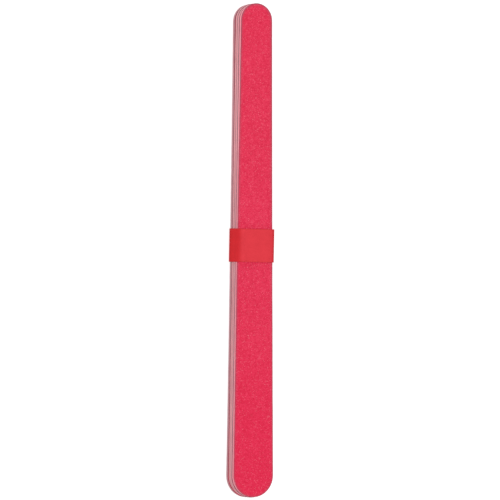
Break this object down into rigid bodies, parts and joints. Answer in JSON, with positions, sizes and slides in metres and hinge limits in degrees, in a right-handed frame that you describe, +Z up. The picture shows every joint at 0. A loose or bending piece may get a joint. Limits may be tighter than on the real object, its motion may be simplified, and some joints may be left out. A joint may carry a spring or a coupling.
{
  "type": "emery board bundle",
  "caption": "Flat stack of tapered, round-ended emery boards with a coarse and a fine face, held by a folded paper band; each board slides out lengthwise.",
  "frame": {"origin": "on the table, under the middle of the bundle", "axes": "+Y along the boards towards their narrow ends, +Z up through the stack from fine faces to coarse faces, +X across"},
  "size_m": [0.0159, 0.1782, 0.0087],
  "materials": {
    "coarse_abrasive": "gritty, matt with fine sparkle",
    "fine_abrasive": "finely gritty, matt",
    "board_core": "die-cut fibrous edge",
    "band_paper": "smooth printed paper, slight sheen"
  },
  "bodies": {
    "band": {"paper_band": "band_paper"},
    "bottom_board": {"bottom_board_fine_paper": "fine_abrasive", "bottom_board_core": "board_core", "bottom_board_coarse_paper": "coarse_abrasive"},
    "lower_board": {"lower_board_fine_paper": "fine_abrasive", "lower_board_core": "board_core", "lower_board_coarse_paper": "coarse_abrasive"},
    "upper_board": {"upper_board_fine_paper": "fine_abrasive", "upper_board_core": "board_core", "upper_board_coarse_paper": "coarse_abrasive"},
    "top_board": {"top_board_fine_paper": "fine_abrasive", "top_board_core": "board_core", "top_board_coarse_paper": "coarse_abrasive"}
  },
  "joints": [
    {"name": "bottom_board_slide", "type": "slide", "parent": "band", "child": "bottom_board", "axis": [-0.0012, 1, 0], "range_m": [-0.095, 0.004]},
    {"name": "lower_board_slide", "type": "slide", "parent": "band", "child": "lower_board", "axis": [-0.0007, 1, 0], "range_m": [-0.095, 0.004]},
    {"name": "upper_board_slide", "type": "slide", "parent": "band", "child": "upper_board", "axis": [0.0003, 1, 0], "range_m": [-0.095, 0.004]},
    {"name": "top_board_slide", "type": "slide", "parent": "band", "child": "top_board", "axis": [0.0005, 1, 0], "range_m": [-0.095, 0.004]}
  ]
}
